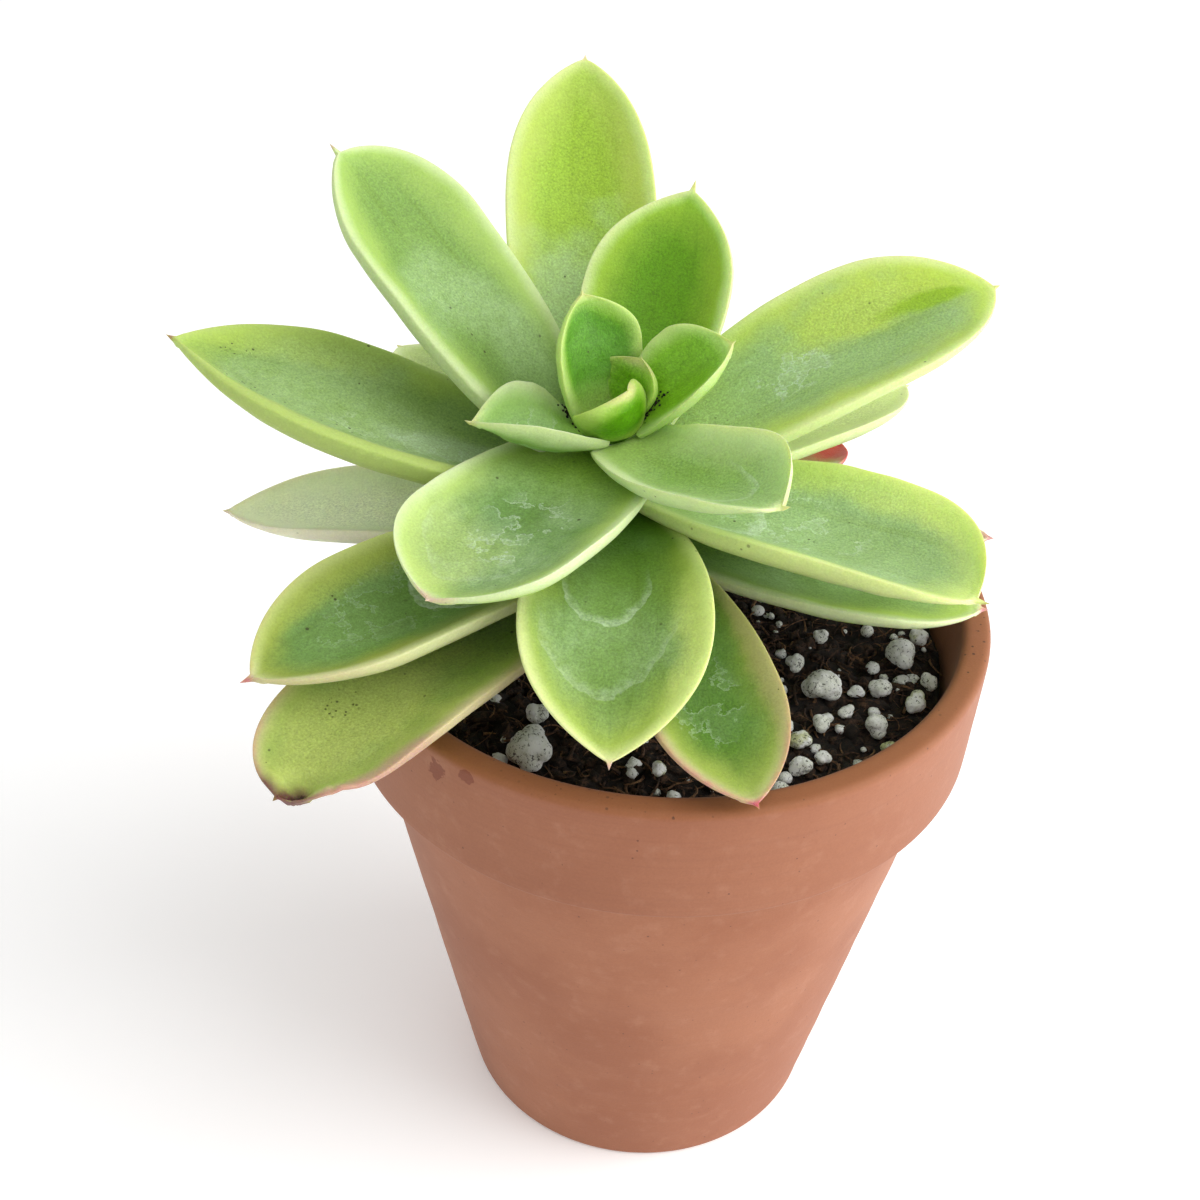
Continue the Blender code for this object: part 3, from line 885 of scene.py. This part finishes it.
def make_soil():
    band_foot = POT_HEIGHT - BAND_HEIGHT
    low_radius = BASE_RADIUS - WALL_THICKNESS - SOIL_GAP
    high_radius = NECK_RADIUS - WALL_THICKNESS + NECK_THINNING - SOIL_GAP
    bottom = FLOOR_THICKNESS + SOIL_GAP
    edge = (SOIL_RADIUS, SOIL_TOP_AT_WALL - 1 * MM)
    profile = run((0, SOIL_TOP_AT_STEM), edge, 75)
    profile += run(edge, (high_radius, band_foot), 4)
    profile += run((high_radius, band_foot), (low_radius, bottom), 10)
    profile += [(low_radius, bottom), (0, bottom)]
    cage = bmesh.new()
    spun(cage, profile, SOIL_STEPS)
    for vertex in cage.verts:
        if vertex.co.z > LOOSE_SOIL_FROM:
            vertex.co.z = ground(vertex.co.x - AXIS.x, vertex.co.y - AXIS.y)
    finished("peat", cage, peat_finish("peat", (24, 18, 13), (66, 47, 33)), ["soil"])


def scatter(cage, pattern, place):
    """Adds a copy of the pattern to the cage, each of its points moved by place."""
    start = len(cage.verts)
    cage.from_mesh(pattern)
    cage.verts.ensure_lookup_table()
    for i in range(start, len(cage.verts)):
        cage.verts[i].co = place(cage.verts[i].co.copy())


def strand_pattern():
    """A tapering four-sided rod of length 1, cut across so that it can bend."""
    cage = bmesh.new()
    bmesh.ops.create_cone(cage, cap_ends=True, segments=4, radius1=1, radius2=0.4, depth=1)
    for i in range(1, 6):
        level = (0, 0, i / 6 - 0.5)
        geometry = list(cage.verts) + list(cage.edges) + list(cage.faces)
        bmesh.ops.bisect_plane(cage, geom=geometry, plane_co=level, plane_no=(0, 0, 1))
    mesh = bpy.data.meshes.new("strand_pattern")
    cage.to_mesh(mesh)
    cage.free()
    return mesh


def ball_pattern(subdivisions):
    cage = bmesh.new()
    bmesh.ops.create_icosphere(cage, subdivisions=subdivisions, radius=1)
    mesh = bpy.data.meshes.new("ball_pattern")
    cage.to_mesh(mesh)
    cage.free()
    return mesh


def soil_spot(chance, reach=0.97):
    """A random place on the soil, from the pot's axis."""
    radius = SOIL_RADIUS * reach * math.sqrt(chance.uniform(0.02, 1))
    angle = chance.uniform(0, math.tau)
    return radius * math.cos(angle), radius * math.sin(angle)


def make_fibres():
    """Short bent strands of peat fibre, lying on the soil."""
    chance = random.Random(5)
    pattern = strand_pattern()
    dark, light = bmesh.new(), bmesh.new()
    for i in range(FIBRES):
        x, y = soil_spot(chance)
        length = chance.uniform(1.2, 6.0) * MM
        thick = chance.uniform(0.08, 0.36) * MM
        heading = chance.uniform(0, math.tau)
        lift = chance.uniform(-0.1, 0.55)
        curl = chance.uniform(-1.3, 1.3)
        rest = ground(x, y) + 0.3 * MM

        def place(point):
            t = point.z + 0.5
            turn = heading + curl * t
            level = Vector((math.cos(turn), math.sin(turn), 0))
            side = Vector((-level.y, level.x, 0))
            middle = AXIS + Vector((x, y, rest)) + level * length * (t - 0.5)
            height = lift * length * t * (1.2 - t) + point.y * thick
            return middle + side * point.x * thick + Vector((0, 0, height))

        scatter(light if i % 3 == 0 else dark, pattern, place)
    finished("peat_fibres", dark, peat_finish("dark_fibre", (60, 43, 31), (128, 93, 66)))
    finished("peat_straws", light, peat_finish("light_fibre", (116, 84, 58), (180, 138, 98)))


def make_crumbs():
    """Loose crumbs of peat on the soil."""
    chance = random.Random(11)
    pattern = ball_pattern(1)
    cage = bmesh.new()
    for i in range(CRUMBS):
        x, y = soil_spot(chance)
        size = chance.uniform(0.35, 1.5) * MM
        seed = Vector((i, 0, 0))
        flat = chance.uniform(0.5, 1.0)
        longer = LONG_CRUMB if i % 9 == 0 else 1.0
        heading = Matrix.Rotation(chance.uniform(0, math.tau), 3, "Z")
        rest = ground(x, y)

        def place(point):
            swell = 1 + 0.55 * noise.noise(point * 1.4 + seed)
            shape = Vector((point.x * longer, point.y, point.z * flat))
            return AXIS + Vector((x, y, rest)) + heading @ shape * size * swell

        scatter(cage, pattern, place)
    finished("peat_crumbs", cage, peat_finish("crumbs", (36, 27, 20), (104, 75, 54)))


PERLITE_NODES = 24
# the visual grain against the solid's box, because its lobes stop short of a ball's outline
GRAIN_SWELL = 1.22
GRAIN_LIFT = 0.3 * MM
FINE_GRAINS = 190
FINE_GRAIN_SIZES = (0.9, 1.3, 1.8, 2.6, 3.4)


def perlite_finish(name, green):
    """Expanded mineral foam: off-white, pitted, with peat caught in the pits."""
    foam = Finish(name, 0.9)
    clouds = foam.clouds(320, 3, 0.6)
    pits = foam.clouds(1900, 4, 0.75, twist=0.4)
    body = foam.mix(tone(250, 251, 249), tone(232, 235, 229), foam.step(clouds, 0.35, 0.7))
    body = foam.mix(body, tone(190, 194, 132), foam.times(foam.step(clouds, 0.4, 0.6), green))
    caught = foam.minus(pits, foam.step(clouds, 0.35, 0.65, 0.0, 0.07))
    dirt = foam.times(foam.step(caught, 0.36, 0.39, 1.0, 0.0), 0.85)
    body = foam.mix(body, tone(46, 42, 32), dirt)
    foam.colour(body)
    foam.relief(pits, 0.4 * MM, 1.0)
    foam.flesh(0.1, (1, 1, 1), 0.5 * MM)
    return foam.material


def lobed(point, lobes):
    """How far a ray from the middle runs before it leaves the last of some overlapping balls."""
    reach = 0.3
    for centre, radius in lobes:
        along = point.dot(centre)
        inside = radius**2 - (centre.length_squared - along**2)
        if inside > 0:
            reach = max(reach, along + math.sqrt(inside))
    return reach


def grain_place(chance, centre, size, flat):
    """The rule that turns a ball round the origin into a lumpy grain at its place."""
    lobes = [(Vector((0, 0, 0)), 0.66)]
    for _ in range(7):
        way = Vector([chance.gauss(0, 1) for _ in range(3)]).normalized()
        lobes.append((way * chance.uniform(0.3, 0.55), chance.uniform(0.32, 0.5)))
    seed = Vector([chance.uniform(-50, 50) for _ in range(3)])

    def place(point):
        way = point.normalized()
        reach = lobed(way, lobes) + 0.05 * noise.noise(way * 3 + seed) + 0.025 * noise.noise(way * 9 + seed)
        spot = way * reach * size / 2
        spot.z *= flat
        return centre + spot

    return place


def make_perlite():
    """The large grains where the solids are, and many finer ones between them."""
    chance = random.Random(23)
    fine = ball_pattern(4)
    white, greenish = perlite_finish("perlite", 0.15), perlite_finish("greenish_perlite", 0.85)
    for number in range(1, PERLITE_NODES + 1):
        name = f"perlite_{number:02d}"
        low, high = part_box(name)
        cage = bmesh.new()
        size = max(high.x - low.x, high.y - low.y) * GRAIN_SWELL
        centre = (low + high) / 2 + Vector((0, 0, GRAIN_LIFT))
        scatter(cage, fine, grain_place(chance, centre, size, 0.85))
        material = greenish if number % 4 == 3 else white
        finished(f"perlite_grain_{number:02d}", cage, material, [name])
    small = ball_pattern(2)
    cage = bmesh.new()
    for _ in range(FINE_GRAINS):
        x, y = soil_spot(chance, 0.95)
        size = chance.choice(FINE_GRAIN_SIZES) * MM
        centre = AXIS + Vector((x, y, ground(x, y) + 0.25 * size))
        scatter(cage, small, grain_place(chance, centre, size, 0.8))
    finished("fine_perlite", cage, white)


# ---------------------------------------------------------------- the stem and the crown


STEM_BODY_LOW = 84 * MM
STEM_BODY_HIGH = 138 * MM
STEM_GREEN_FROM = 118 * MM
STEM_GREEN_TO = 130 * MM
SCAR_DEPTH = 0.35 * MM


def stem_finish():
    """Corky below, green where the newest leaves leave it."""
    bark = Finish("stem_skin", 0.75)
    clouds = bark.clouds(260, 4, 0.6)
    colour = bark.mix(tone(120, 138, 72), tone(92, 84, 50), bark.step(clouds, 0.4, 0.65))
    green = bark.step(bark.height(), STEM_GREEN_FROM, STEM_GREEN_TO)
    bark.colour(bark.mix(colour, tone(112, 158, 48), green))
    bark.relief(clouds, 0.5 * MM, 0.8)
    bark.flesh(0.15, (0.7, 1.0, 0.25), 2 * MM)
    return bark.material


def make_stem():
    """A knobbly stem, ringed with the scars of old leaves, that tapers into the crown."""
    cage = bmesh.new()
    bmesh.ops.create_uvsphere(cage, u_segments=40, v_segments=80, radius=1)
    for vertex in cage.verts:
        x, y, z = vertex.co
        ring = math.hypot(x, y)
        height = STEM_BODY_LOW + (STEM_BODY_HIGH - STEM_BODY_LOW) * (1 + z) / 2
        around = Vector((x, y, 0)) / ring if ring > POLE else Vector((0, 0, 0))
        closing = min(ring / 0.35, 1)
        scars = SCAR_DEPTH * math.sin(height / MM * 1.9 + 2 * math.atan2(y, x))
        vertex.co = stem_centre(height) + around * (stem_radius(height) + scars) * closing
    bmesh.ops.recalc_face_normals(cage, faces=cage.faces)
    finished("stem_body", cage, stem_finish(), ["stem"])


# lines in the crown where soil gathers: leaf, from and to (millimetres from the crown), specks
CREVICES = [
    ("inner_left_leaf", (-7.5, 0.2), (-2.5, -2.8), 150),
    ("inner_right_leaf", (2.5, -2.6), (6.8, 1.4), 120),
]
# how far specks stray from their line, in millimetres
CREVICE_SPREAD = 0.45


def make_dirt(leaves):
    """Specks of soil caught where the inner leaves meet."""
    chance = random.Random(31)
    graph = bpy.context.evaluated_depsgraph_get()
    trees = {piece.name: BVHTree.FromObject(piece, graph) for piece in leaves}
    pattern = ball_pattern(1)
    cage = bmesh.new()
    crown = stem_centre(STEM_TOP)
    for leaf_name, start, end, number in CREVICES:
        for _ in range(number):
            t = chance.random()
            x = crown.x + (start[0] + (end[0] - start[0]) * t + chance.gauss(0, CREVICE_SPREAD)) * MM
            y = crown.y + (start[1] + (end[1] - start[1]) * t + chance.gauss(0, CREVICE_SPREAD)) * MM
            size = chance.uniform(0.08, 0.28) * MM
            top = trees[leaf_name].ray_cast(Vector((x, y, 2 * STEM_TOP)), Vector((0, 0, -1)))[0]
            if top is None:
                continue
            seed = Vector((x, y, size)) / MM

            def place(point):
                return top + point * size * (1 + 0.5 * noise.noise(point * 2 + seed))

            scatter(cage, pattern, place)
    finished("crown_dirt", cage, peat_finish("dirt", (24, 18, 13), (52, 40, 28)))


# ---------------------------------------------------------------- the studio


WORLD_STRENGTH = 0.73
FLOOR_REACH = 4
FLOOR_GLOW = 0.14
LAMP_AIM = AXIS + Vector((0, 0, 0.1))
# place, size and power of each disk lamp
LAMPS = {
    "key": ((0.95, -0.12, 0.42), 1.0, 11),
    "fill": ((0.5, -0.3, 1.1), 0.9, 3.8),
}
# the camera, from the foot of the pot's axis: its place, and its tilt up from straight down, its
# roll and its turn to the left, in degrees
CAMERA_PLACE = Vector((0, -222.7, 268.1)) * MM
CAMERA_TURN = (53.33, -1.69, 3.95)
CAMERA_LENS = 51.0
CAMERA_SENSOR = 36
CAMERA_NEAREST = 0.01


def lamp(name, place, size, power):
    data = bpy.data.lights.new(name, "AREA")
    data.shape = "DISK"
    data.size = size
    data.energy = power
    obj = bpy.data.objects.new(name, data)
    obj.location = place
    obj.rotation_euler = (LAMP_AIM - Vector(place)).to_track_quat("-Z", "Y").to_euler()
    bpy.context.scene.collection.objects.link(obj)


def make_world():
    world = bpy.data.worlds.new("studio")
    world.use_nodes = True
    background = world.node_tree.nodes["Background"]
    background.inputs["Color"].default_value = (1, 1, 1, 1)
    background.inputs["Strength"].default_value = WORLD_STRENGTH
    bpy.context.scene.world = world
    bpy.context.scene.view_settings.view_transform = "Standard"


def make_floor():
    paper = Finish("white_paper", 0.9)
    paper.colour(tone(250, 250, 250))
    paper.shader.inputs["Emission Color"].default_value = (1, 1, 1, 1)
    paper.shader.inputs["Emission Strength"].default_value = FLOOR_GLOW
    cage = bmesh.new()
    bmesh.ops.create_grid(cage, x_segments=1, y_segments=1, size=FLOOR_REACH)
    mesh = bpy.data.meshes.new("floor")
    cage.to_mesh(mesh)
    cage.free()
    mesh.materials.append(paper.material)
    floor = bpy.data.objects.new("floor", mesh)
    bpy.context.scene.collection.objects.link(floor)


def make_camera():
    data = bpy.data.cameras.new("camera")
    data.lens = CAMERA_LENS
    data.sensor_width = CAMERA_SENSOR
    data.clip_start = CAMERA_NEAREST
    camera = bpy.data.objects.new("camera", data)
    camera.location = AXIS + CAMERA_PLACE
    camera.rotation_euler = [math.radians(angle) for angle in CAMERA_TURN]
    bpy.context.scene.collection.objects.link(camera)
    bpy.context.scene.camera = camera


def main():
    make_pot()
    make_soil()
    make_fibres()
    make_crumbs()
    make_perlite()
    make_stem()
    leaves = [make_leaf(leaf) for leaf in LEAVES]
    bpy.context.view_layer.update()
    make_dirt(leaves)
    make_world()
    make_floor()
    for name, (place, size, power) in LAMPS.items():
        lamp(name, place, size, power)
    make_camera()


main()
